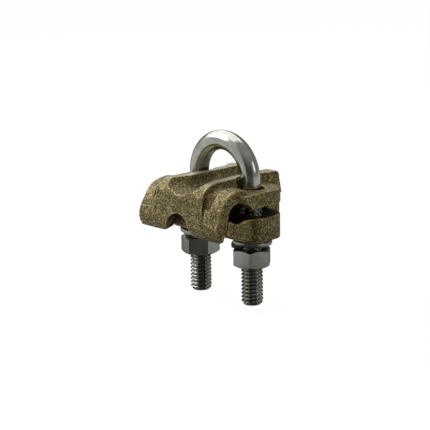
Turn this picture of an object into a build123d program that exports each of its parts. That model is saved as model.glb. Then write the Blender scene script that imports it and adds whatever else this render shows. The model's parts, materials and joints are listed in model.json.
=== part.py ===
"""Earth rod clamp: a U-bolt that pulls two bronze castings onto a ground rod and one cable.

Shared frame, millimetres: X runs from leg to leg of the U-bolt, Y along the rod, +Z up
towards the arch.  The origin is on the rod axis, midway between the two legs.
"""
from math import cos, pi, radians, sin, sqrt, tan
import os

from build123d import *

# ---- sizes that drive the part ----
rod_dia = 12.7            # ground rod that the trough is made for
trough_depth = 4.4        # how far the rod sinks into the upper casting
leg_spacing = 27.0        # between the centre lines of the threaded legs
thread_dia = 7.94         # 5/16-18 thread on both legs
shank_dia = 7.1           # plain part of the U-bolt
arch_clear = 0.3          # rod top to the underside of the arch
exposed_thread = 14.4     # thread left showing under each nut
thread_start = 9.0        # top of the thread, below the lands
leg_lean = 2.2            # the plain legs close in towards the arch by this angle
thread_pitch = 1.411
thread_depth = 0.7
end_chamfer = 0.8

land_half = 11.4          # half width of the central block at its top
block_draft = 12.0        # draft angle of the block side walls
block_front = 22.8        # block reach towards the cable side
block_back = 16.4         # block and heel reach on the other side
block_nose_r = 6.0        # rounded top corner at the cable side
ear_top = 3.3             # ear top face, below the lands
ear_thick = 5.2
ear_half = 22.6           # half width over the ears
ear_back = 9.4
ear_corner_r = 6.5
hole_r = 4.4              # bolt slots in both castings
slot_stretch = 0.6        # extra slot length towards the outside

cable_y = 13.0            # across-cable barrel, distance from the legs
cable_drop = 10.8         # barrel centre, below the lands
cable_r = 5.0             # groove radius in the hood
hood_wall = 4.5
hood_half = 20.4          # half length of the hood
collar_in = 15.2          # inner edge of the raised end collars
collar_rise = 0.5         # collar height over the hood at its inner edge
valley_depth = 0.8
block_half = 12.9         # half width of the block where it runs down into the skirt
block_rake = 0.6          # how far the block front leans out on its way down
skirt_reach = 24.0        # furthest point of the skirt from the legs
skirt_foot = 18.4         # bottom of the skirt, below the lands
notch_r = 5.8             # opening for a cable laid along the rod
notch_flare = 8.4         # half width of that opening at the foot
notch_top = 10.9          # top of that opening, below the lands

casting_gap = 4.05        # open slot between ears and keeper
keeper_thick = 8.85       # keeper at the bolt bosses
nose_clear = 0.45         # keeper nose to the inside of the skirt
nose_thick = 4.9
heel_meet = 10.8          # where the castings touch at the heel, below the lands
heel_half = 12.0
heel_long = 4.6           # length of the two pads that meet at the heel
boss_r = 8.0              # boss face round each bolt
washer_stack = 3.9        # free height of a spring lock washer
washer_thick = 2.0
washer_od = 14.8
washer_id = 8.3
washer_split = 14.0       # angle left open at the split
washer_flats = 32         # straight lengths that make up one turn
nut_across = 12.7
nut_height = 6.7
nut_clear = 0.06          # nut bore over the thread
washer_turn_left = 150.0  # where each split happens to be
washer_turn_right = -130.0
nut_turn_left = 39.0      # how each nut happens to be turned
nut_turn_right = 9.0

# ---- heights worked out from them ----
land_z = -(rod_dia / 2 - trough_depth)
ear_z = land_z - ear_top
ear_under_z = ear_z - ear_thick
keeper_z = ear_under_z - casting_gap
boss_z = keeper_z - keeper_thick
nut_z = boss_z - washer_stack
leg_end_z = nut_z - nut_height - exposed_thread
cable_z = land_z - cable_drop
heel_z = land_z - heel_meet
foot_z = land_z - skirt_foot
leg_x = leg_spacing / 2
arch_r = leg_x - 0.26       # centre line of the arch
arch_z = rod_dia / 2 + arch_clear + shank_dia / 2 - arch_r
skirt_in = cable_y + cable_r


def side_prism(half, *corners):
    """Solid with the given outline in the Y-Z plane, reaching half to both sides in X."""
    return extrude(Plane.YZ * make_face(Polyline(*corners, close=True)), amount=half, both=True)


def bar(x0, x1, y0, y1, z0, z1):
    """Block between two opposite corners."""
    centre = Pos((x0 + x1) / 2, (y0 + y1) / 2, (z0 + z1) / 2)
    return centre * Box(abs(x1 - x0), abs(y1 - y0), abs(z1 - z0))


def bolt_slots(z0, z1):
    """Both bolt openings, slightly longer towards the outside."""
    slots = Part()
    for side in (-1, 1):
        plan = Pos(side * leg_x, 0) * Circle(hole_r)
        plan += Pos(side * (leg_x + slot_stretch), 0) * Circle(hole_r)
        plan += Pos(side * (leg_x + slot_stretch / 2), 0) * Rectangle(slot_stretch, 2 * hole_r)
        slots += extrude(Pos(0, 0, z0) * plan, amount=z1 - z0)
    return slots


def u_bolt():
    """Round bar bent over the rod; its legs close in a little towards the arch."""
    lean = radians(leg_lean)
    top = land_z - thread_start
    spring_x = arch_r * cos(lean)
    spring_z = arch_z + arch_r * sin(lean)
    foot_x = spring_x + (spring_z - top + 0.5) * tan(lean)
    foot = [(side * foot_x, 0, top - 0.5) for side in (1, -1)]
    spring = [(side * spring_x, 0, spring_z) for side in (1, -1)]
    crown = (0, 0, arch_z + arch_r)
    path = Line(foot[0], spring[0]) + ThreePointArc(spring[0], crown, spring[1])
    path += Line(spring[1], foot[1])
    start = Plane(origin=foot[0], z_dir=(-sin(lean), 0, cos(lean)))
    bolt = sweep(start * Circle(shank_dia / 2), path=path)
    for side in (-1, 1):
        bolt += threaded_leg(side, top)
    return bolt


def threaded_leg(side, top):
    """Leg turned with a vee at every thread pitch below the nut, and a chamfered end."""
    r = thread_dia / 2
    low = leg_end_z + end_chamfer
    turns = int((nut_z - nut_height - low) / thread_pitch)
    outline = [(0, leg_end_z), (r - end_chamfer, leg_end_z), (r, low)]
    for turn in range(turns):
        z = low + turn * thread_pitch
        outline += [(r - thread_depth, z + thread_pitch / 2), (r, z + thread_pitch)]
    outline += [(r, top - end_chamfer), (r - end_chamfer / 2, top), (0, top)]
    return Pos(side * leg_x, 0) * revolve(Plane.XZ * make_face(Polyline(*outline, close=True)), axis=Axis.Z)


def hood():
    """Half barrel over the across-cable groove, with a raised collar at each end."""
    r = cable_r + hood_wall
    barrel = Pos(0, -cable_y, cable_z) * Rot(0, 90, 0) * Cylinder(r, 2 * hood_half)
    for side in (-1, 1):
        mid = side * (collar_in + hood_half) / 2
        ring = Cone(r + collar_rise, r, hood_half - collar_in)
        barrel += Pos(mid, -cable_y, cable_z) * Rot(0, side * 90, 0) * ring
        groove = Torus(r + 1.6, 1.6 + valley_depth)
        barrel -= Pos(side * (collar_in - 1.6), -cable_y, cable_z) * Rot(0, 90, 0) * groove
    lower = bar(-40, 40, -cable_y - 40, -cable_y + 40, cable_z - 40, cable_z)
    behind = bar(-40, 40, -cable_y + 4.1, 40, ear_z, land_z + 20)
    return barrel - lower - behind


def skirt():
    """Wall that drops from the hood over the nose of the keeper and ends in a rounded toe."""
    out = -(cable_y + cable_r + hood_wall)
    with BuildPart() as wall:
        with BuildSketch(Plane.YZ):
            with BuildLine():
                shin = Line((out + 0.5, cable_z + 3.0), (-skirt_reach + 0.2, cable_z - 2.2))
                toe = ThreePointArc(shin @ 1, (-skirt_reach + 0.2, cable_z - 4.6),
                                    (-skirt_reach + 1.6, foot_z))
                sole = Line(toe @ 1, (-skirt_in - 2.6, foot_z))
                heel = Line(sole @ 1, (-skirt_in - 1.6, cable_z - 5.4))
                inner = Line(heel @ 1, (-skirt_in, cable_z))
                back = Line(inner @ 1, (-cable_y - 2, cable_z + cable_r + 2))
                Line(back @ 1, shin @ 0)
            make_face()
        extrude(amount=hood_half, both=True)
    return wall.part


def central_block():
    """Block under the rod: drafted side walls and a rounded nose that runs down into the skirt."""
    length = block_front + block_back
    mid = (block_back - block_front) / 2
    drop = ear_top + ear_thick - 0.4
    block = extrude(Pos(0, mid, land_z) * Rectangle(2 * land_half, length), amount=-drop,
                    taper=-block_draft)
    block &= bar(-40, 40, -block_front, block_back, land_z - 40, land_z)
    heel = block.edges().filter_by(Axis.X).group_by(Axis.Z)[-1].sort_by(Axis.Y)[-1]
    block = fillet(heel, 1.2)
    front = -block_front + block_rake
    nose = side_prism(block_half, (-cable_y, land_z), (front, land_z),
                      (-block_front, land_z - ear_top - 3.7), (-skirt_reach + 0.2, cable_z - 2.2),
                      (-cable_y, cable_z - 2.2))
    rims = nose.edges().filter_by(Axis.X).group_by(Axis.Z)[-1].sort_by(Axis.Y)[0]
    nose = fillet(rims, block_nose_r)
    wedge = extrude(Pos(0, 0, land_z) * Rectangle(2 * land_half, 200), amount=-40,
                    taper=-block_draft / 2)
    nose &= wedge
    cap = bar(-40, 40, -60, -block_front + block_nose_r + block_rake, land_z - 40, land_z + 1)
    return (block - cap) + nose


def ears():
    """Flat plates round the bolt slots, either side of the block."""
    depth = ear_back + cable_y
    plan = Pos(0, (ear_back - cable_y) / 2) * Rectangle(2 * ear_half, depth)
    corners = plan.vertices().group_by(Axis.Y)
    plan = fillet(corners[-1], ear_corner_r)
    plan = fillet(plan.vertices().group_by(Axis.Y)[0], 2.2)
    return extrude(Pos(0, 0, ear_under_z) * plan, amount=ear_thick)


def saddle_body():
    """Upper casting: rod trough on top, cable hood at one side, heel at the other."""
    body = central_block() + ears() + hood() + skirt()
    body += bar(-heel_half, heel_half, block_back - heel_long, block_back, heel_z, land_z - 1.5)
    trough = Rot(90, 0, 0) * Cylinder(rod_dia / 2, 200)
    groove = Pos(0, -cable_y, cable_z) * Rot(0, 90, 0) * Cylinder(cable_r, 200)
    drop = side_prism(100, (-skirt_in, cable_z), (-skirt_in - 1.6, cable_z - 5.4),
                      (-skirt_in - 2.6, foot_z), (-skirt_in - 2.6, foot_z - 9),
                      (-cable_y + cable_r, foot_z - 9), (-cable_y + cable_r, cable_z))
    under = bar(-100, 100, -cable_y, block_back - heel_long, ear_under_z - 60, ear_under_z)
    notch_z = land_z - notch_top - notch_r
    notch = Pos(0, -skirt_reach, notch_z) * Rot(90, 0, 0) * Cylinder(notch_r, 20)
    mouth = Plane.XZ * make_face(Polyline((-notch_r, notch_z), (notch_r, notch_z), (notch_flare, foot_z),
                                          (notch_flare, foot_z - 9), (-notch_flare, foot_z - 9),
                                          (-notch_flare, foot_z), close=True))
    notch += Pos(0, -skirt_reach, 0) * extrude(mouth, amount=10, both=True)
    return body - trough - groove - drop - under - notch - bolt_slots(-90, 90)


def boss_plan():
    """Outline of the keeper round both bolts, full at the back like the ears above it."""
    plan = Pos(0, (ear_back - boss_r) / 2) * Rectangle(2 * (ear_half - 0.2), ear_back + boss_r)
    plan = fillet(plan.vertices().group_by(Axis.Y)[-1], ear_corner_r)
    return fillet(plan.vertices().group_by(Axis.Y)[0], 5.0)


def keeper():
    """Lower casting: clamps the cable against the hood and carries both nuts."""
    nose_y = -skirt_in + nose_clear
    slope = 1.6 / 5.4
    lip_z = keeper_z + 1.1
    face_y = nose_y - slope * (cable_z - lip_z)
    low_y = nose_y - slope * (cable_z - lip_z + nose_thick) + 0.1
    body = side_prism(ear_half, (face_y, lip_z), (face_y + 2.4, lip_z), (-cable_y + 4.6, keeper_z),
                      (block_back - heel_long - 1.2, keeper_z), (block_back - heel_long, heel_z),
                      (block_back, heel_z), (block_back, heel_z - 4.4), (boss_r, boss_z + 1.2), (-boss_r, boss_z + 1.2),
                      (low_y, lip_z - nose_thick))
    plan = Pos(0, -9 - 10) * Rectangle(2 * hood_half, 20)
    plan += Pos(0, 1.5) * Rectangle(2 * heel_half, 40)
    plan += boss_plan()
    plan += Pos(0, -6) * Rectangle(2 * hood_half, 9)
    body &= extrude(Pos(0, 0, boss_z - 5) * plan, amount=40)
    bosses = extrude(Pos(0, 0, boss_z) * boss_plan(), amount=keeper_thick)
    bosses -= bar(-leg_x + boss_r, leg_x - boss_r, -40, 40, boss_z - 1, boss_z + 1.2)
    body += bosses
    for side in (-1, 1):
        seam = Cylinder(0.5, keeper_thick - 2)
        body += Pos(side * (ear_half - 0.35), -1.0, (keeper_z + boss_z) / 2 + 0.4) * seam
    cross = Pos(0, -cable_y, keeper_z - 0.5 + cable_r + 0.6) * Rot(0, 90, 0)
    along = Pos(0, 0, keeper_z - 2.0 + notch_r) * Rot(90, 0, 0)
    body -= cross * Cylinder(cable_r + 0.6, 100)
    body -= along * Cylinder(notch_r, 100)
    return body - bolt_slots(-90, 90)


def lock_washer(side, turned):
    """Split spring washer: one turn of square wire with its two ends sprung apart."""
    mean = (washer_od + washer_id) / 4
    width = (washer_od - washer_id) / 2
    turn = (360 - washer_split) / 360
    rise = washer_stack - washer_thick
    coil = Helix(pitch=rise / turn, height=rise, radius=mean)
    cuts = []
    for i in range(washer_flats + 1):
        spot = coil @ (i / washer_flats)
        cut = Plane(origin=spot, z_dir=coil % (i / washer_flats), x_dir=(spot.X, spot.Y, 0))
        cuts.append(cut * Rectangle(width, washer_thick))
    ring = loft(cuts, ruled=True)
    ring = Pos(side * leg_x, 0, nut_z + washer_thick / 2) * Rot(0, 0, turned) * ring
    return ring & bar(-90, 90, -90, 90, nut_z, boss_z)


def hex_nut(side, turn):
    """Plain hexagon nut, both faces chamfered."""
    radius = nut_across / sqrt(3)
    body = extrude(RegularPolygon(radius, 6), amount=nut_height)
    cone_h = (radius - nut_across * 0.475) * tan(radians(30))
    cut = Pos(0, 0, nut_height / 2) * Cylinder(radius, nut_height)
    rims = cut.edges().filter_by(GeomType.CIRCLE)
    cut = chamfer(rims, cone_h, (radius - nut_across * 0.475))
    body &= cut
    body -= Pos(0, 0, nut_height / 2) * Cylinder(thread_dia / 2 + nut_clear, nut_height * 2)
    return Pos(side * leg_x, 0, nut_z - nut_height) * Rot(0, 0, turn) * body


NODES = {
    "saddle_body": saddle_body(),
    "keeper": keeper(),
    "u_bolt": u_bolt(),
    "lock_washer_left": lock_washer(-1, washer_turn_left),
    "lock_washer_right": lock_washer(1, washer_turn_right),
    "hex_nut_left": hex_nut(-1, nut_turn_left),
    "hex_nut_right": hex_nut(1, nut_turn_right),
}

os.makedirs("parts", exist_ok=True)
for name, solid in NODES.items():
    export_step(solid, f"parts/{name}.step")
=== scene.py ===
"""Earth rod clamp: two sand-cast bronze castings drawn together by a stainless U-bolt.

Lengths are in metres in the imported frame: X from leg to leg, Y along the rod, Z up to the arch.
"""

import json
import logging
import math
from dataclasses import dataclass, field
from enum import Enum
from typing import Any, Callable, Optional, Sequence, Union

import bmesh
import bpy
from mathutils import Matrix, Vector

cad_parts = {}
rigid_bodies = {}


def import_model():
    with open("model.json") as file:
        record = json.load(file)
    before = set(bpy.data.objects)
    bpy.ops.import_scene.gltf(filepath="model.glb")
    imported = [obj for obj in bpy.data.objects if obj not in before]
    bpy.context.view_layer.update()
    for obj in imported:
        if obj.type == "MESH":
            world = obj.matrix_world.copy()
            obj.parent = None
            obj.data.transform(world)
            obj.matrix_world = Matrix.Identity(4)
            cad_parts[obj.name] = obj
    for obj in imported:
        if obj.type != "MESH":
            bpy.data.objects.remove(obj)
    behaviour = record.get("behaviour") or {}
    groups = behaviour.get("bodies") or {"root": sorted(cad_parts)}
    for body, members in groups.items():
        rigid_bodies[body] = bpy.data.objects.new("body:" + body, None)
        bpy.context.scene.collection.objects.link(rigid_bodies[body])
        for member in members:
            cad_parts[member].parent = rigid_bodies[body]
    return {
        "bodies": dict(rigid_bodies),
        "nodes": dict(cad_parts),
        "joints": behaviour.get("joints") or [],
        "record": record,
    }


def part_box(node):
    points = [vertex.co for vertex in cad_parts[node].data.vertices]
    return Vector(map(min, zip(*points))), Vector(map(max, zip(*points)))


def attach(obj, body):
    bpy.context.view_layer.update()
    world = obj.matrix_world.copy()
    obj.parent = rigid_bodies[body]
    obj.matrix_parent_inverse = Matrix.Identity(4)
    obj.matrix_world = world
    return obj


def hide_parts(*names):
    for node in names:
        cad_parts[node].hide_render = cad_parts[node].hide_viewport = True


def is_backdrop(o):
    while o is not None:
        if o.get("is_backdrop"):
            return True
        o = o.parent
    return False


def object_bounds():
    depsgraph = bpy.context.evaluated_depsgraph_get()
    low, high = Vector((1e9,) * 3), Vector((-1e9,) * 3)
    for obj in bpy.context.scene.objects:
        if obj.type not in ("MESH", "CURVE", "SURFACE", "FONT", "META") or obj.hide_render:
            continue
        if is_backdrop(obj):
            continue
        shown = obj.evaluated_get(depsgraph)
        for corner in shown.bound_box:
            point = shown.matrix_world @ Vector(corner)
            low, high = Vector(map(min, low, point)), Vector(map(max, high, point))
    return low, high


log = logging.getLogger("rod_clamp")

MM = 0.001
CREASE = math.radians(32)
WHITE = (1.0, 1.0, 1.0, 1.0)
Number = Union[int, float]
Tint = tuple[float, float, float]
Span = tuple[float, float]


class Side(Enum):
    """Which leg of the U-bolt a small part sits on."""

    LEFT = -1
    RIGHT = 1

    @property
    def word(self) -> str:
        """The side's name as the nodes spell it."""
        return self.name.lower()

    @property
    def nut(self) -> tuple[Vector, Vector]:
        """Lowest and highest corner of the nut on this leg."""
        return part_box(f"hex_nut_{self.word}")

    @property
    def leg_x(self) -> float:
        """Where the leg's centre line stands, which is its nut's."""
        low, high = self.nut
        return (low.x + high.x) / 2


class Slot(Enum):
    """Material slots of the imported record."""

    BRONZE = "bronze"
    STAINLESS = "stainless"


class Wire:
    """A shader socket that takes part in Python arithmetic."""

    def __init__(self, graph: "Graph", socket: bpy.types.NodeSocket) -> None:
        """Wraps one output socket.

        Args:
            graph: The graph that the socket belongs to.
            socket: The output socket.
        """
        self.graph = graph
        self.socket = socket

    def _math(self, operation: str, *values: Union["Wire", Number]) -> "Wire":
        """Adds one Math node.

        Args:
            operation: Blender's name of the operation.
            values: Its inputs in order.

        Returns:
            The node's result.
        """
        inputs = {i: v for i, v in enumerate(values)}
        return self.graph.node("ShaderNodeMath", {"operation": operation}, inputs)

    def __add__(self, other: Union["Wire", Number]) -> "Wire":
        """Sum of two values."""
        return self._math("ADD", self, other)

    def __radd__(self, other: Number) -> "Wire":
        """Sum with a number on the left."""
        return self._math("ADD", other, self)

    def __sub__(self, other: Union["Wire", Number]) -> "Wire":
        """Difference of two values."""
        return self._math("SUBTRACT", self, other)

    def __rsub__(self, other: Number) -> "Wire":
        """Difference with a number on the left."""
        return self._math("SUBTRACT", other, self)

    def __mul__(self, other: Union["Wire", Number]) -> "Wire":
        """Product of two values."""
        return self._math("MULTIPLY", self, other)

    def __rmul__(self, other: Number) -> "Wire":
        """Product with a number on the left."""
        return self._math("MULTIPLY", other, self)

    def __truediv__(self, other: Union["Wire", Number]) -> "Wire":
        """Quotient of two values."""
        return self._math("DIVIDE", self, other)

    def size(self) -> "Wire":
        """The value without its sign."""
        return self._math("ABSOLUTE", self)

    def peak(self, other: Union["Wire", Number]) -> "Wire":
        """The larger of two values."""
        return self._math("MAXIMUM", self, other)

    def dip(self, other: Union["Wire", Number]) -> "Wire":
        """The smaller of two values."""
        return self._math("MINIMUM", self, other)

    def step(self, low: float, high: float, out_low: float = 0.0, out_high: float = 1.0) -> "Wire":
        """Smooth rise from one value to another.

        Args:
            low: Where the rise starts.
            high: Where it ends.
            out_low: Result below low.
            out_high: Result above high.

        Returns:
            The eased value.
        """
        settings = {"interpolation_type": "SMOOTHSTEP"}
        values = {0: self, 1: low, 2: high, 3: out_low, 4: out_high}
        return self.graph.node("ShaderNodeMapRange", settings, values)


class Graph:
    """Node tree of a material or world, with the few calls that the finishes need."""

    def __init__(self, owner: Any, output: str) -> None:
        """Clears the tree of a material or world down to its output node.

        Args:
            owner: The material or world.
            output: Blender's type of the output node.
        """
        self.owner = owner
        owner.use_nodes = True
        self.tree = owner.node_tree
        self.tree.nodes.clear()
        self.output = self.tree.nodes.new(output)

    @classmethod
    def finish(cls, name: str) -> "Graph":
        """Starts the graph of a new material.

        Args:
            name: Name of the material.

        Returns:
            The graph.
        """
        return cls(bpy.data.materials.new(name), "ShaderNodeOutputMaterial")

    def end(self, shader: Wire) -> Any:
        """Joins a shader to the output.

        Args:
            shader: The shader.

        Returns:
            The material or world.
        """
        self.tree.links.new(shader.socket, self.output.inputs["Surface"])
        return self.owner

    def split(self, place: Wire) -> tuple[Wire, Wire, Wire]:
        """Takes a vector apart.

        Args:
            place: The vector.

        Returns:
            Its three parts.
        """
        parts = self.node("ShaderNodeSeparateXYZ", None, {0: place}).socket.node.outputs
        return tuple(Wire(self, part) for part in parts)

    def node(self, kind: str, settings: Optional[dict[str, Any]] = None,
             values: Optional[dict[Union[int, str], Any]] = None,
             out: Union[int, str] = 0) -> Wire:
        """Adds any node.

        Args:
            kind: Blender's node type.
            settings: Properties, which are set first.
            values: Socket index or name to a value or a Wire.
            out: The output to hand back.

        Returns:
            The chosen output.
        """
        made = self.tree.nodes.new(kind)
        for key, value in (settings or {}).items():
            setattr(made, key, value)
        for key, value in (values or {}).items():
            target = made.inputs[key]
            if isinstance(value, Wire):
                self.tree.links.new(value.socket, target)
            else:
                target.default_value = value
        return Wire(self, made.outputs[out])

    def place(self) -> Wire:
        """Position on the piece in its own coordinates."""
        return self.node("ShaderNodeTexCoord", out="Object")

    def noise(self, place: Wire, scale: float, detail: float = 3.0, rough: float = 0.55) -> Wire:
        """Value of a noise field.

        Args:
            place: Where the field is read.
            scale: Waves per metre.
            detail: Octaves.
            rough: Weight of the finer octaves.

        Returns:
            A value round 0.5.
        """
        values = {"Vector": place, "Scale": scale, "Detail": detail, "Roughness": rough}
        return self.node("ShaderNodeTexNoise", None, values)

    def stretch(self, place: Wire, scale: Sequence[float]) -> Wire:
        """Coordinates scaled by axis.

        Args:
            place: The coordinates.
            scale: Factor of each axis.

        Returns:
            The scaled coordinates.
        """
        return self.node("ShaderNodeVectorMath", {"operation": "MULTIPLY"},
                         {0: place, 1: tuple(scale)})

    def blend(self, share: Union[Wire, float], first: Union[Wire, Tint],
              second: Union[Wire, Tint]) -> Wire:
        """Mix of two colours.

        Args:
            share: Weight of the second colour.
            first: Colour or Wire.
            second: Colour or Wire.

        Returns:
            The mixed colour.
        """
        colours = [c if isinstance(c, Wire) else (*c, 1.0) for c in (first, second)]
        return self.node("ShaderNodeMix", {"data_type": "RGBA"},
                         {"Factor": share, 6: colours[0], 7: colours[1]}, out=2)

    def crests(self) -> Wire:
        """How far the surface is an outer edge.

        Returns:
            0.5 on flats, more on edges, less in corners.
        """
        return self.node("ShaderNodeNewGeometry", out="Pointiness")

    def bump(self, height: Wire, distance: float, strength: float) -> Wire:
        """Bump map.

        Args:
            height: Height field.
            distance: Metres that a height of 1 stands for.
            strength: Share of the effect.

        Returns:
            The bent normal.
        """
        values = {"Height": height, "Distance": distance, "Strength": strength}
        return self.node("ShaderNodeBump", None, values)

    def surface(self, **sockets: Any) -> bpy.types.Material:
        """Ends the graph in one Principled shader.

        Args:
            sockets: Socket names with _ for spaces, to values or Wires.

        Returns:
            The finished material.
        """
        values = {name.replace("_", " "): value for name, value in sockets.items()}
        return self.end(self.node("ShaderNodeBsdfPrincipled", None, values))


@dataclass(frozen=True)
class CastBronze:
    """Sand-cast bronze: granular skin, dark in its pits, edges golden from rubbing plus a painted
    highlight.
    """

    lands: float
    # dark colour of the grain's pits, also used for painted shade
    pit: Tint = (0.022, 0.014, 0.006)
    skin: Tint = (0.078, 0.059, 0.017)
    worn: Tint = (0.100, 0.079, 0.027)
    grain: Tint = (0.385, 0.308, 0.118)
    # golden tone of the edges: rubbing wear and also a painted highlight
    rubbed: Tint = (0.520, 0.375, 0.135)
    # pale tone of the lands: rubbing by hands and the rod, and a painted sheen on faces that look up
    handled: Tint = (0.560, 0.535, 0.420)
    grain_size: float = 0.36 * MM
    cloud_waves: float = 110.0
    fine_share: float = 0.74
    speck_share: float = 0.84
    pit_share: float = 0.84
    hollow_share: float = 0.60
    edge_share: float = 0.36
    edge_speck: float = 0.48
    land_share: float = 0.52
    # share of the painted shade on the faces across the gap between the castings
    foundry_black: float = 0.92
    gap_foot: Span = (-16.0 * MM, -14.6 * MM)
    gap_top: Span = (-10.0 * MM, -11.2 * MM)
    metal: float = 0.60
    sand_deep: float = 0.13 * MM

    def gap(self, height: Wire, up: Wire) -> Wire:
        """Finds the level faces that look at each other across the gap between the castings, which get
        painted shade.

        Args:
            height: Height of a spot.
            up: How far its face looks up.

        Returns:
            1 on those faces and 0 elsewhere.
        """
        band = height.step(*self.gap_foot) * height.step(*self.gap_top)
        return band * up.size().step(0.35, 0.75)

    def polish(self, height: Wire, along: Wire, up: Wire, cloud: Wire) -> Wire:
        """Finds the up-facing lands beside the trough, which hands and the rod rub bright, and gives
        them a painted sheen.

        Args:
            height: Height of a spot.
            along: Its place along the rod.
            up: How far its face looks up.
            cloud: Slow variation over the skin.

        Returns:
            Share of the pale finish, part rubbing and part painted sheen, less towards the cable side.
        """
        land = height.step(self.lands - 1.05 * MM, self.lands - 0.15 * MM) * up.step(0.6, 0.95)
        fade = along.step(-17.0 * MM, -9.0 * MM, 0.35, 1.0)
        return land * fade * cloud.step(0.30, 0.55, 0.6, 1.0)

    def build(self) -> bpy.types.Material:
        """Makes the material.

        Returns:
            The material.
        """
        g = Graph.finish("cast_bronze")
        place = g.place()
        _, along, height = g.split(place)
        _, _, up = g.split(g.node("ShaderNodeTexCoord", out="Normal"))
        relief = g.node("ShaderNodeAttribute", {"attribute_name": "relief"}, out="Fac")
        fine = g.noise(place, 0.72 / self.grain_size, 2.0, 0.6)
        coarse = g.noise(place, 0.30 / self.grain_size, 2.0, 0.5)
        cloud = g.noise(place, self.cloud_waves)
        sand = fine * self.fine_share + coarse * (1.0 - self.fine_share)
        speck = sand.step(0.49, 0.62)
        dark = sand.step(0.48, 0.38)
        edge = (relief + (sand - 0.5) * 0.16).step(0.025, 0.13)
        hollow = relief.step(-0.03, -0.16)
        land = self.polish(height, along, up, cloud)
        colour = g.blend(cloud.step(0.36, 0.64), self.skin, self.worn)
        colour = g.blend(speck * self.speck_share, colour, self.grain)
        colour = g.blend(dark * self.pit_share, colour, self.pit)
        colour = g.blend(hollow * self.hollow_share, colour, self.pit)
        # painted shade in the gap between the castings, in the dark pit colour
        colour = g.blend(self.gap(height, up) * self.foundry_black, colour, self.pit)
        # edges: rubbing wear and a painted golden highlight
        colour = g.blend(edge * (self.edge_share + self.edge_speck * speck), colour, self.rubbed)
        # painted sheen on the up-facing lands, partly real rubbing
        colour = g.blend(land * self.land_share, colour, self.handled)
        rough = 0.52 - 0.12 * speck + 0.16 * dark - 0.10 * edge - 0.08 * land
        normal = g.bump(sand, self.sand_deep, 0.85)
        return g.surface(Base_Color=colour, Metallic=self.metal, Roughness=rough, Normal=normal)


@dataclass(frozen=True)
class Stainless:
    """Bright stainless steel: faint draw marks under a clean reflection, with painted shade in its
    inner corners.
    """

    name: str
    base: Tint = (0.355, 0.370, 0.325)
    roughness: float = 0.13
    draw: tuple[float, float, float] = (1.0, 1.0, 0.10)
    draw_waves: float = 2600.0
    draw_deep: float = 0.008 * MM
    cloud_waves: float = 260.0
    dull: float = 0.80
    # tone and share of the painted shade in the inner corners
    hollow: float = 0.22
    hollow_share: float = 0.75

    def tone(self, share: float) -> Tint:
        """The base colour at a share of its brightness."""
        red, green, blue = self.base
        return (red * share, green * share, blue * share)

    def build(self) -> bpy.types.Material:
        """Makes the material.

        Returns:
            The material.
        """
        g = Graph.finish(self.name)
        place = g.place()
        lines = g.noise(g.stretch(place, self.draw), self.draw_waves, 3.0, 0.6)
        cloud = g.noise(place, self.cloud_waves, 3.0, 0.5)
        # painted shade: darker in inner corners such as the thread roots
        corner = g.crests().step(0.49, 0.40)
        colour = g.blend(cloud.step(0.35, 0.7), self.tone(self.dull), self.base)
        colour = g.blend(corner * self.hollow_share, colour, self.tone(self.hollow))
        rough = self.roughness + 0.10 * lines.step(0.45, 0.75) + 0.06 * cloud
        normal = g.bump(lines, self.draw_deep, 0.6)
        return g.surface(Base_Color=colour, Metallic=1.0, Roughness=rough, Normal=normal)


@dataclass(frozen=True)
class SideCards:
    """White cards beside the clamp, which its steel mirrors, with shade between them."""

    azimuth: float
    right: float
    start: float
    left: float = 0.90
    right_edge: Span = (0.38, 0.95)
    left_edge: Span = (0.62, 1.20)

    def across(self, g: Graph, place: Wire) -> Wire:
        """How far a spot lies to the right of the clamp, for someone in front of it.

        Args:
            g: The graph.
            place: Position or direction from the clamp.

        Returns:
            The distance, negative on the left.
        """
        x, y, _ = g.split(place)
        a = math.radians(self.azimuth)
        return x * math.cos(a) + y * math.sin(a)

    def level(self, g: Graph, place: Wire) -> Wire:
        """How bright the cards are at a spot.

        Args:
            g: The graph.
            place: Position or direction from the clamp.

        Returns:
            0 in front of the clamp and behind it, left or right level at its sides.
        """
        x, y, _ = g.split(place)
        a = math.radians(self.azimuth)
        ahead = x * math.sin(a) - y * math.cos(a)
        side = self.across(g, place) / (ahead.size() + self.start)
        return side.step(*self.right_edge) * self.right + (0.0 - side).step(*self.left_edge) * self.left


@dataclass(frozen=True)
class FloorPaint:
    """Plain white floor: seen nearly white, with the clamp's soft shadow left on it."""

    cards: SideCards
    tone: float = 0.42
    lift: float = 0.86
    shade: float = 0.085
    white: float = 1.12
    reach: Span = (0.09, 0.16)
    reach_gain: float = 1.7

    def build(self) -> bpy.types.Material:
        """Makes the material. Steel sees it white at the sides and shaded front and back.

        Returns:
            The material.
        """
        g = Graph.finish("floor_white")
        seen = g.node("ShaderNodeLightPath", out="Is Camera Ray")
        glossy = g.node("ShaderNodeLightPath", out="Is Glossy Ray")
        through = g.node("ShaderNodeLightPath", out="Is Transmission Ray")
        place = g.node("ShaderNodeNewGeometry", out="Position")
        far = g.node("ShaderNodeVectorMath", {"operation": "LENGTH"}, {0: place}, out="Value")
        mirrored = self.shade + (1.0 - self.shade) * self.cards.level(g, place)
        mirrored = (mirrored * far.step(*self.reach, 1.0, self.reach_gain)).dip(1.0)
        level = self.white - glossy * (self.white - mirrored)
        matt = g.node("ShaderNodeBsdfDiffuse", None, {"Color": (self.tone,) * 3 + (1.0,)})
        glow = g.node("ShaderNodeEmission", None, {"Color": WHITE, "Strength": level})
        share = (seen.peak(through) * self.lift).peak(glossy)
        return g.end(g.node("ShaderNodeMixShader", None, {0: share, 1: matt, 2: glow}))


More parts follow.
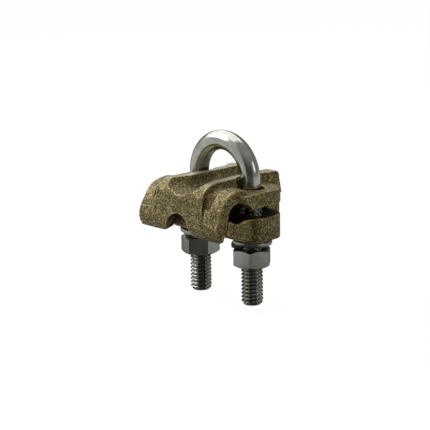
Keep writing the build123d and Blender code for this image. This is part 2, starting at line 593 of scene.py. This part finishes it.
class Piece:
    """Helpers shared by every piece of the clamp."""

    @staticmethod
    def wrap(name: str, mesh: bpy.types.Mesh, material: bpy.types.Material, body: str,
             slot: Slot, *nodes: str) -> bpy.types.Object:
        """Turns a mesh into a piece of the frame.

        Args:
            name: Name of the piece.
            mesh: Its mesh, in the shared frame.
            material: Its finish.
            body: The body that it rides on.
            slot: The record's material slot. Not used.
            nodes: The CAD nodes that it stands for.

        Returns:
            The object.
        """
        made = bpy.data.objects.new(name, mesh)
        bpy.context.scene.collection.objects.link(made)
        mesh.materials.clear()
        mesh.materials.append(material)
        for face in mesh.polygons:
            face.use_smooth = True
        mesh.set_sharp_from_angle(angle=CREASE)
        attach(made, body)
        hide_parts(*nodes)
        log.info("%s: %d faces on %s", name, len(mesh.polygons), body)
        return made

    @staticmethod
    def skin(bm: bmesh.types.BMesh, rings: Sequence[Sequence[Vector]],
             closed: bool = False) -> None:
        """Joins rings of points into a tube, and closes its two ends with a face.

        Args:
            bm: The mesh being built.
            rings: Rings of equal length, in order.
            closed: Whether the last ring joins the first, which leaves no ends.
        """
        made = [[bm.verts.new(spot) for spot in ring] for ring in rings]
        count = len(made[0])
        pairs = list(zip(made, made[1:])) + ([(made[-1], made[0])] if closed else [])
        for low, high in pairs:
            for k in range(count):
                bm.faces.new((low[k], low[(k + 1) % count], high[(k + 1) % count], high[k]))
        if not closed:
            bm.faces.new(list(reversed(made[0])))
            bm.faces.new(made[-1])

    @staticmethod
    def close(bm: bmesh.types.BMesh, name: str) -> bpy.types.Mesh:
        """Ends a mesh with its faces turned outward.

        Args:
            bm: The mesh being built.
            name: Its name.

        Returns:
            The mesh.
        """
        bmesh.ops.recalc_face_normals(bm, faces=bm.faces)
        mesh = bpy.data.meshes.new(name)
        bm.to_mesh(mesh)
        bm.free()
        return mesh


def ease(value: float, low: float, high: float) -> float:
    """Smooth rise from 0 to 1.

    Args:
        value: The value.
        low: Where the rise starts.
        high: Where it ends.

    Returns:
        The eased share.
    """
    share = min(max((value - low) / (high - low), 0.0), 1.0)
    return share * share * (3.0 - 2.0 * share)


@dataclass(frozen=True)
class PatternMaker:
    """Small reliefs of the upper casting that its pattern has beyond the solid."""

    lands: float
    cable: Vector
    cable_r: float = 5.0 * MM
    block_foot: float = 4.45 * MM
    block_half: float = 12.0 * MM
    block_core: float = 6.6 * MM
    draft_margin: float = 1.2 * MM
    taper: float = 1.9 * MM
    front: Span = (-18.0 * MM, -12.0 * MM)
    back: Span = (-13.5 * MM, -9.0 * MM)
    hood_side: Span = (12.6 * MM, 15.5 * MM)
    hood_rise: Span = (-0.5 * MM, 4.5 * MM)
    hood_front: Span = (-5.0 * MM, 1.0 * MM)
    thinning: float = 0.27
    trough_half: float = 6.04 * MM
    trough_deep: float = 4.4 * MM
    mouth: float = 2.6 * MM
    mouth_run: Span = (9.0 * MM, 20.0 * MM)

    def narrow(self, spot: Vector) -> None:
        """Leans the block's side walls in towards the lands.

        Args:
            spot: The point that is moved.
        """
        out = abs(spot.x)
        if out > self.block_half + self.draft_margin:
            return
        rise = 1.0 + (spot.z - self.lands) / self.block_foot
        span = (out - self.block_core) / (self.block_half - self.block_core)
        along = ease(spot.y, *self.front) * ease(-spot.y, *self.back)
        shift = self.taper * min(max(rise, 0.0), 1.0) * min(max(span, 0.0), 1.0) * along
        spot.x -= math.copysign(shift, spot.x)

    def thin(self, spot: Vector) -> None:
        """Draws in the left hood's upper quarter, which stands a little lower.

        Args:
            spot: The point that is moved.
        """
        y, z = spot.y - self.cable.y, spot.z - self.cable.z
        reach = math.hypot(y, z)
        if spot.x > 0 or reach <= self.cable_r:
            return
        share = ease(-spot.x, *self.hood_side) * ease(z, *self.hood_rise)
        share *= ease(-y, *self.hood_front) * self.thinning
        shrink = (self.cable_r + (reach - self.cable_r) * (1.0 - share)) / reach
        spot.y, spot.z = self.cable.y + y * shrink, self.cable.z + z * shrink

    def flare(self, spot: Vector) -> None:
        """Opens the front mouth of the rod trough.

        Args:
            spot: The point that is moved.
        """
        half = self.trough_half + self.mouth * ease(-spot.y, *self.mouth_run)
        radius = (half ** 2 + self.trough_deep ** 2) / (2 * self.trough_deep)
        bottom = self.lands - self.trough_deep
        if abs(spot.x) < half and spot.z > bottom:
            spot.z = min(spot.z, bottom + radius - math.sqrt(radius ** 2 - spot.x ** 2))

    def __call__(self, spot: Vector) -> Vector:
        """Moves one point of the casting's skin.

        Args:
            spot: The point.

        Returns:
            Where it goes.
        """
        self.narrow(spot)
        self.thin(spot)
        self.flare(spot)
        return spot


@dataclass
class Casting:
    """One bronze casting: its outline with the soft edges that sand gives."""

    node: str
    body: str
    voxel: float = 0.28 * MM
    rounds: int = 5
    reach: int = 26
    pattern: Optional[Callable[[Vector], Vector]] = None

    def softened(self, source: bpy.types.Object, rounds: int) -> bpy.types.Mesh:
        """Copies the outline as small, even faces with soft edges.

        Args:
            source: The frame's own object.
            rounds: How often the skin is smoothed.

        Returns:
            The mesh.
        """
        made = bpy.data.objects.new(self.node + "_work", source.data.copy())
        bpy.context.scene.collection.objects.link(made)
        remesh = made.modifiers.new("even", "REMESH")
        remesh.mode = "VOXEL"
        remesh.voxel_size = self.voxel
        soft = made.modifiers.new("soft", "SMOOTH")
        soft.factor = 0.5
        soft.iterations = rounds
        bpy.context.view_layer.update()
        graph = bpy.context.evaluated_depsgraph_get()
        mesh = bpy.data.meshes.new_from_object(made.evaluated_get(graph))
        bpy.data.objects.remove(made)
        return mesh

    def mesh(self, source: bpy.types.Object) -> bpy.types.Mesh:
        """Makes the skin and notes how far each point stands out as an edge.

        Args:
            source: The frame's own object.

        Returns:
            The mesh, with its "relief" in millimetres.
        """
        mesh = self.softened(source, self.rounds)
        wide = self.softened(source, self.reach)
        relief = mesh.attributes.new("relief", "FLOAT", "POINT")
        for vert, far, mark in zip(mesh.vertices, wide.vertices, relief.data):
            mark.value = (vert.co - far.co).dot(vert.normal) / MM
        bpy.data.meshes.remove(wide)
        if self.pattern is not None:
            for vert in mesh.vertices:
                vert.co = self.pattern(vert.co.copy())
        return mesh

    def build(self, frame: dict[str, Any], material: bpy.types.Material) -> bpy.types.Object:
        """Makes the casting.

        Args:
            frame: The loaded frame.
            material: Its finish.

        Returns:
            The piece.
        """
        mesh = self.mesh(frame["nodes"][self.node])
        return Piece.wrap(self.node + "_cast", mesh, material, self.body, Slot.BRONZE, self.node)


@dataclass
class Thread:
    """Coarse screw thread of a fastener."""

    major: float = 7.94 * MM
    pitch: float = 1.411 * MM
    depth: float = 0.80 * MM
    root: float = 0.10
    flank: float = 0.78
    around: int = 48
    rows_per_turn: int = 12

    def radius(self, turn: float, z: float) -> float:
        """Radius of the thread surface.

        Args:
            turn: Angle round the axis, in radians.
            z: Height along the axis.

        Returns:
            The radius there.
        """
        phase = (z / self.pitch - turn / (2 * math.pi)) % 1.0
        saw = abs(phase - 0.5) * 2.0
        crest = min(1.0, max(0.0, (saw - self.root) / self.flank))
        return self.major / 2 - self.depth * (1.0 - crest)


@dataclass
class UBolt:
    """Bent bar with a rolled thread on both legs."""

    node: str = "u_bolt"
    thread: Thread = field(default_factory=Thread)
    shank: float = 7.1 * MM
    arch_r: float = 13.24 * MM
    arch_z: float = -3.04 * MM
    lean: float = math.radians(2.2)
    thread_top: float = -10.95 * MM
    tip_inset: float = 0.9 * MM
    run_out: float = 0.8
    run_out_inset: float = 0.02 * MM
    leg_rings: int = 12
    arch_rings: int = 72

    def path(self) -> list[tuple[Vector, Vector]]:
        """Centre line of the plain bar, from the right thread over the arch to the left one.

        Returns:
            Points, each with its direction away from the middle of the arch.
        """
        cos, sin = math.cos(self.lean), math.sin(self.lean)
        spring_z = self.arch_z + self.arch_r * sin
        drop = spring_z - self.thread_top
        out = Vector((cos, 0, sin))
        leg: list[tuple[Vector, Vector]] = []
        for i in range(self.leg_rings + 1):
            low = drop * (1 - i / self.leg_rings)
            x = self.arch_r * cos + low * math.tan(self.lean)
            leg.append((Vector((x, 0, spring_z - low)), out))
        arch: list[tuple[Vector, Vector]] = []
        for i in range(1, self.arch_rings):
            a = self.lean + (math.pi - 2 * self.lean) * i / self.arch_rings
            out = Vector((math.cos(a), 0, math.sin(a)))
            arch.append((Vector((0, 0, self.arch_z)) + out * self.arch_r, out))
        mirrored = [(Vector((-spot.x, 0, spot.z)), Vector((-way.x, 0, way.z)))
                    for spot, way in reversed(leg)]
        return leg + arch + mirrored

    def arch(self, bm: bmesh.types.BMesh) -> None:
        """Adds the bent bar down to the top of the threads.

        Args:
            bm: The mesh being built.
        """
        around = self.thread.around
        turns = [2 * math.pi * k / around for k in range(around)]
        rod = Vector((0, 1, 0))
        rings = [[centre + (out * math.cos(a) + rod * math.sin(a)) * self.shank / 2 for a in turns]
                 for centre, out in self.path()]
        Piece.skin(bm, rings)

    def leg(self, bm: bmesh.types.BMesh, side: Side) -> None:
        """Adds one threaded leg.

        Args:
            bm: The mesh being built.
            side: Which leg.
        """
        around = self.thread.around
        centre = side.leg_x
        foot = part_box(self.node)[0].z
        length = self.thread_top - foot
        rows = int(length / self.thread.pitch * self.thread.rows_per_turn)
        rings = []
        for i in range(rows + 1):
            z = foot + length * i / rows
            tip = self.thread.major / 2 - self.tip_inset + (z - foot)
            neck = self.shank / 2 - self.run_out_inset + (self.thread_top - z) * self.run_out
            ring = []
            for k in range(around):
                a = 2 * math.pi * k / around
                r = min(self.thread.radius(a, z), tip, neck)
                ring.append(Vector((centre + r * math.cos(a), r * math.sin(a), z)))
            rings.append(ring)
        Piece.skin(bm, rings)

    def build(self, material: bpy.types.Material) -> bpy.types.Object:
        """Makes the U-bolt.

        Args:
            material: Its finish.

        Returns:
            The piece.
        """
        bm = bmesh.new()
        self.arch(bm)
        for side in Side:
            self.leg(bm, side)
        mesh = Piece.close(bm, "u_bolt_bar")
        return Piece.wrap("u_bolt_bar", mesh, material, "ubolt", Slot.STAINLESS, self.node)


@dataclass
class HexNut:
    """Hexagon nut with both faces chamfered and its bore countersunk; turn is in degrees."""

    side: Side
    turn: float
    across: float = 12.7 * MM
    bore: float = 4.03 * MM
    sink_wide: float = 0.42 * MM
    sink_deep: float = 0.45 * MM
    corner: float = 0.25 * MM
    face: float = 5.95 * MM
    chamfer: float = math.radians(30)
    spread: tuple[float, ...] = (0.6, 1.5, 3, 5, 8, 12, 18, 24)

    def outline(self, angle: float) -> float:
        """Radius of the hexagon, its corners slightly rounded.

        Args:
            angle: Angle from the middle of a corner, in radians.

        Returns:
            The radius.
        """
        flat = self.across / 2
        off = abs((angle + math.pi / 6) % (math.pi / 3) - math.pi / 6)
        centre = (flat - self.corner) / math.cos(math.pi / 6)
        radius = flat / math.cos(math.pi / 6 - off)
        reach = self.corner ** 2 - (centre * math.sin(off)) ** 2
        if reach > 0:
            radius = min(radius, centre * math.cos(off) + math.sqrt(reach))
        return radius

    def turns(self) -> list[float]:
        """Angles round the nut, closest at its corners, with the middle of each flat.

        Returns:
            The angles, in radians.
        """
        offsets = [-d for d in reversed(self.spread)] + list(self.spread) + [30.0]
        return [corner * math.pi / 3 + math.radians(d) for corner in range(6) for d in offsets]

    def profile(self, angle: float, half: float) -> list[tuple[float, float]]:
        """Section of the nut's upper half at one angle.

        Args:
            angle: Angle from the middle of a corner, in radians.
            half: Half of the nut's height.

        Returns:
            Radius and height of each point, from the bore out to the flat.
        """
        radius = self.outline(angle)
        fall = max(0.0, radius - self.face) * math.tan(self.chamfer)
        return [(self.bore, half - self.sink_deep), (self.bore + self.sink_wide, half),
                (self.face, half), (radius, half - fall)]

    def build(self, material: bpy.types.Material) -> bpy.types.Object:
        """Makes the nut.

        Args:
            material: Its finish.

        Returns:
            The piece.
        """
        low, high = self.side.nut
        half = (high.z - low.z) / 2
        turns = self.turns()
        upper = list(zip(*(self.profile(a, half) for a in turns)))
        lower = [[(radius, -level) for radius, level in ring] for ring in upper]
        spin = math.radians(self.turn)
        middle = Vector((self.side.leg_x, 0, high.z - half))
        spots = [[middle + Vector((r * math.cos(a + spin), r * math.sin(a + spin), level))
                  for a, (r, level) in zip(turns, ring)] for ring in lower + upper[::-1]]
        bm = bmesh.new()
        Piece.skin(bm, spots, closed=True)
        node = f"hex_nut_{self.side.word}"
        name = node + "_steel"
        mesh = Piece.close(bm, name)
        return Piece.wrap(name, mesh, material, f"nut_{self.side.word}", Slot.STAINLESS, node)


@dataclass
class SpringWasher:
    """Split spring washer: one sprung turn of wire with rounded edges; angles in degrees."""

    side: Side
    turn: float
    thick: float = 2.0 * MM
    outer: float = 14.8 * MM
    inner: float = 8.3 * MM
    split: float = 14.0
    roundness: float = 3.2
    end_share: float = 0.86
    end_reach: float = 0.14 * MM
    steps: int = 96
    around: int = 32

    def section(self, share: float) -> list[tuple[float, float]]:
        """Outline of the flat wire, with well rounded corners.

        Args:
            share: Its size against the full wire.

        Returns:
            Distance outward and upward of each point from the wire's middle.
        """
        half = (self.outer - self.inner) / 4
        spots: list[tuple[float, float]] = []
        for k in range(self.around):
            b = 2 * math.pi * k / self.around
            c, s = math.cos(b), math.sin(b)
            size = (abs(c) ** self.roundness + abs(s) ** self.roundness) ** (-1 / self.roundness)
            spots.append((half * size * c * share, self.thick / 2 * size * s * share))
        return spots

    def ring(self, foot: Vector, rise: float, along: float, end: int = 0) -> list[Vector]:
        """One section of the wire in place.

        Args:
            foot: Where the leg's centre line meets the nut's face.
            rise: How much higher the first end lies than the last.
            along: How far round the turn it is, from 0 to 1.
            end: -1 or 1 for the small face that rounds off an end, or else 0.

        Returns:
            Its points.
        """
        mean = (self.outer + self.inner) / 4
        a = math.radians(self.turn + (360 - self.split) * along)
        out = Vector((math.cos(a), math.sin(a), 0))
        ahead = Vector((-math.sin(a), math.cos(a), 0))
        level = Vector((0, 0, self.thick / 2 + rise * (1.0 - along)))
        centre = foot + level + out * mean + ahead * (self.end_reach * end)
        share = self.end_share if end else 1.0
        return [centre + out * wide + Vector((0, 0, tall)) for wide, tall in self.section(share)]

    def build(self, material: bpy.types.Material) -> bpy.types.Object:
        """Makes the washer between the nut's face and the lower casting.

        Args:
            material: Its finish.

        Returns:
            The piece.
        """
        foot = Vector((self.side.leg_x, 0, self.side.nut[1].z))
        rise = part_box("keeper")[0].z - foot.z - self.thick
        rings = [self.ring(foot, rise, 0.0, -1)]
        rings += [self.ring(foot, rise, i / self.steps) for i in range(self.steps + 1)]
        rings.append(self.ring(foot, rise, 1.0, 1))
        bm = bmesh.new()
        Piece.skin(bm, rings)
        node = f"lock_washer_{self.side.word}"
        name = node + "_wire"
        mesh = Piece.close(bm, name)
        return Piece.wrap(name, mesh, material, "keeper", Slot.STAINLESS, node)


@dataclass(frozen=True)
class SoftBox:
    """One square studio lamp."""

    name: str
    place: tuple[float, float, float]
    size: float
    watts: float
    aim: tuple[float, float, float] = (0.0, 0.0, -0.01)

    def hang(self) -> None:
        """Hangs the lamp so that it faces the clamp."""
        data = bpy.data.lights.new(self.name, "AREA")
        data.size = self.size
        data.energy = self.watts
        made = bpy.data.objects.new(self.name, data)
        bpy.context.scene.collection.objects.link(made)
        made.location = self.place
        way = Vector(self.place) - Vector(self.aim)
        made.rotation_euler = way.to_track_quat("Z", "Y").to_euler()


@dataclass
class Studio:
    """White floor, soft boxes and the camera; angles in degrees."""

    azimuth: float = 46.5
    elevation: float = 14.1
    roll: float = -1.05
    distance: float = 461 * MM
    focal: float = 2.72 * 461.0
    target: tuple[float, float, float] = (-5.35 * MM, 0.0, -18.55 * MM)
    sensor: float = 36.0
    view_width: int = 430
    floor_half: float = 3.0
    floor_gap: float = 0.2 * MM
    ambient: float = 0.58
    shade: float = 0.10
    boxes: tuple[SoftBox, ...] = (
        SoftBox("box_above", (-0.34, 0.06, 0.50), 0.85, 4.6),
        SoftBox("box_left", (-0.38, -0.33, 0.34), 0.30, 1.15),
        SoftBox("box_right", (0.55, 0.20, 0.22), 0.22, 0.35),
    )

    def camera(self) -> None:
        """Places the camera."""
        a, e = math.radians(self.azimuth), math.radians(self.elevation)
        back = Vector((math.sin(a) * math.cos(e), -math.cos(a) * math.cos(e), math.sin(e)))
        data = bpy.data.cameras.new("camera")
        data.sensor_width = self.sensor
        data.lens = self.focal / self.view_width * self.sensor
        data.clip_start = 0.01
        data.clip_end = 20.0
        made = bpy.data.objects.new("camera", data)
        bpy.context.scene.collection.objects.link(made)
        made.location = Vector(self.target) + back * self.distance
        turn = back.to_track_quat("Z", "Y").to_matrix().to_4x4()
        made.rotation_euler = (turn @ Matrix.Rotation(math.radians(self.roll), 4, "Z")).to_euler()
        bpy.context.scene.camera = made

    def floor(self, height: float) -> None:
        """Lays the floor.

        Args:
            height: Its level.
        """
        bm = bmesh.new()
        bmesh.ops.create_grid(bm, x_segments=8, y_segments=8, size=self.floor_half)
        bmesh.ops.translate(bm, verts=bm.verts, vec=(0, 0, height))
        mesh = bpy.data.meshes.new("floor")
        bm.to_mesh(mesh)
        bm.free()
        cards = SideCards(self.azimuth, right=0.48, start=25 * MM)
        mesh.materials.append(FloorPaint(cards).build())
        made = bpy.data.objects.new("floor", mesh)
        bpy.context.scene.collection.objects.link(made)
        made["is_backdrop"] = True

    def surround(self) -> None:
        """Sets a soft surround that steel sees shaded in front of the clamp and behind it."""
        world = bpy.data.worlds.new("studio")
        bpy.context.scene.world = world
        cards = SideCards(self.azimuth, right=0.30, start=0.02)
        g = Graph(world, "ShaderNodeOutputWorld")
        seen = g.node("ShaderNodeLightPath", out="Is Camera Ray")
        glossy = g.node("ShaderNodeLightPath", out="Is Glossy Ray")
        way = g.node("ShaderNodeTexCoord", out="Generated")
        _, _, up = g.split(way)
        mirrored = cards.level(g, way).peak(up.step(0.15, 0.80) * 0.46)
        mirrored = mirrored * (1.0 - self.shade) + self.shade
        soft = cards.across(g, way).step(-0.50, 0.40, 1.30, 0.04) * self.ambient
        soft = soft * up.step(0.0, 0.6, 0.60, 1.15)
        level = soft + glossy * (mirrored - soft) + seen * (1.0 - soft)
        g.end(g.node("ShaderNodeBackground", None, {"Color": WHITE, "Strength": level}))

    def build(self, lowest: float) -> None:
        """Sets up the whole studio.

        Args:
            lowest: The lowest point of the clamp.
        """
        bpy.context.scene.view_settings.view_transform = "Standard"
        self.floor(lowest - self.floor_gap)
        self.surround()
        for box in self.boxes:
            box.hang()
        self.camera()


def mount(frame: dict[str, Any], name: str) -> Vector:
    """Finds one of the record's mounts.

    Args:
        frame: The loaded frame.
        name: Name of the mount.

    Returns:
        Its place.
    """
    return Vector(next(m["pos_m"] for m in frame["record"]["mounts"] if m["name"] == name))


def main() -> None:
    """Builds the clamp and its studio."""
    logging.basicConfig(level=logging.INFO)
    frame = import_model()
    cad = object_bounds()
    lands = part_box("saddle_body")[1].z
    bronze = CastBronze(lands).build()
    bar = Stainless("drawn_stainless").build()
    nut = Stainless("turned_stainless", roughness=0.22, draw=(1.0, 1.0, 0.5)).build()
    spring = Stainless("spring_stainless", base=(0.275, 0.285, 0.250), roughness=0.24).build()
    pattern = PatternMaker(lands, mount(frame, "cross_cable_groove"))
    Casting("saddle_body", "saddle", pattern=pattern).build(frame, bronze)
    Casting("keeper", "keeper").build(frame, bronze)
    UBolt().build(bar)
    for side, nut_turn, washer_turn in ((Side.LEFT, 39.0, 150.0), (Side.RIGHT, 9.0, -112.0)):
        HexNut(side, nut_turn).build(nut)
        SpringWasher(side, washer_turn).build(spring)
    Studio().build(cad[0].z)


if __name__ == "__main__":
    main()
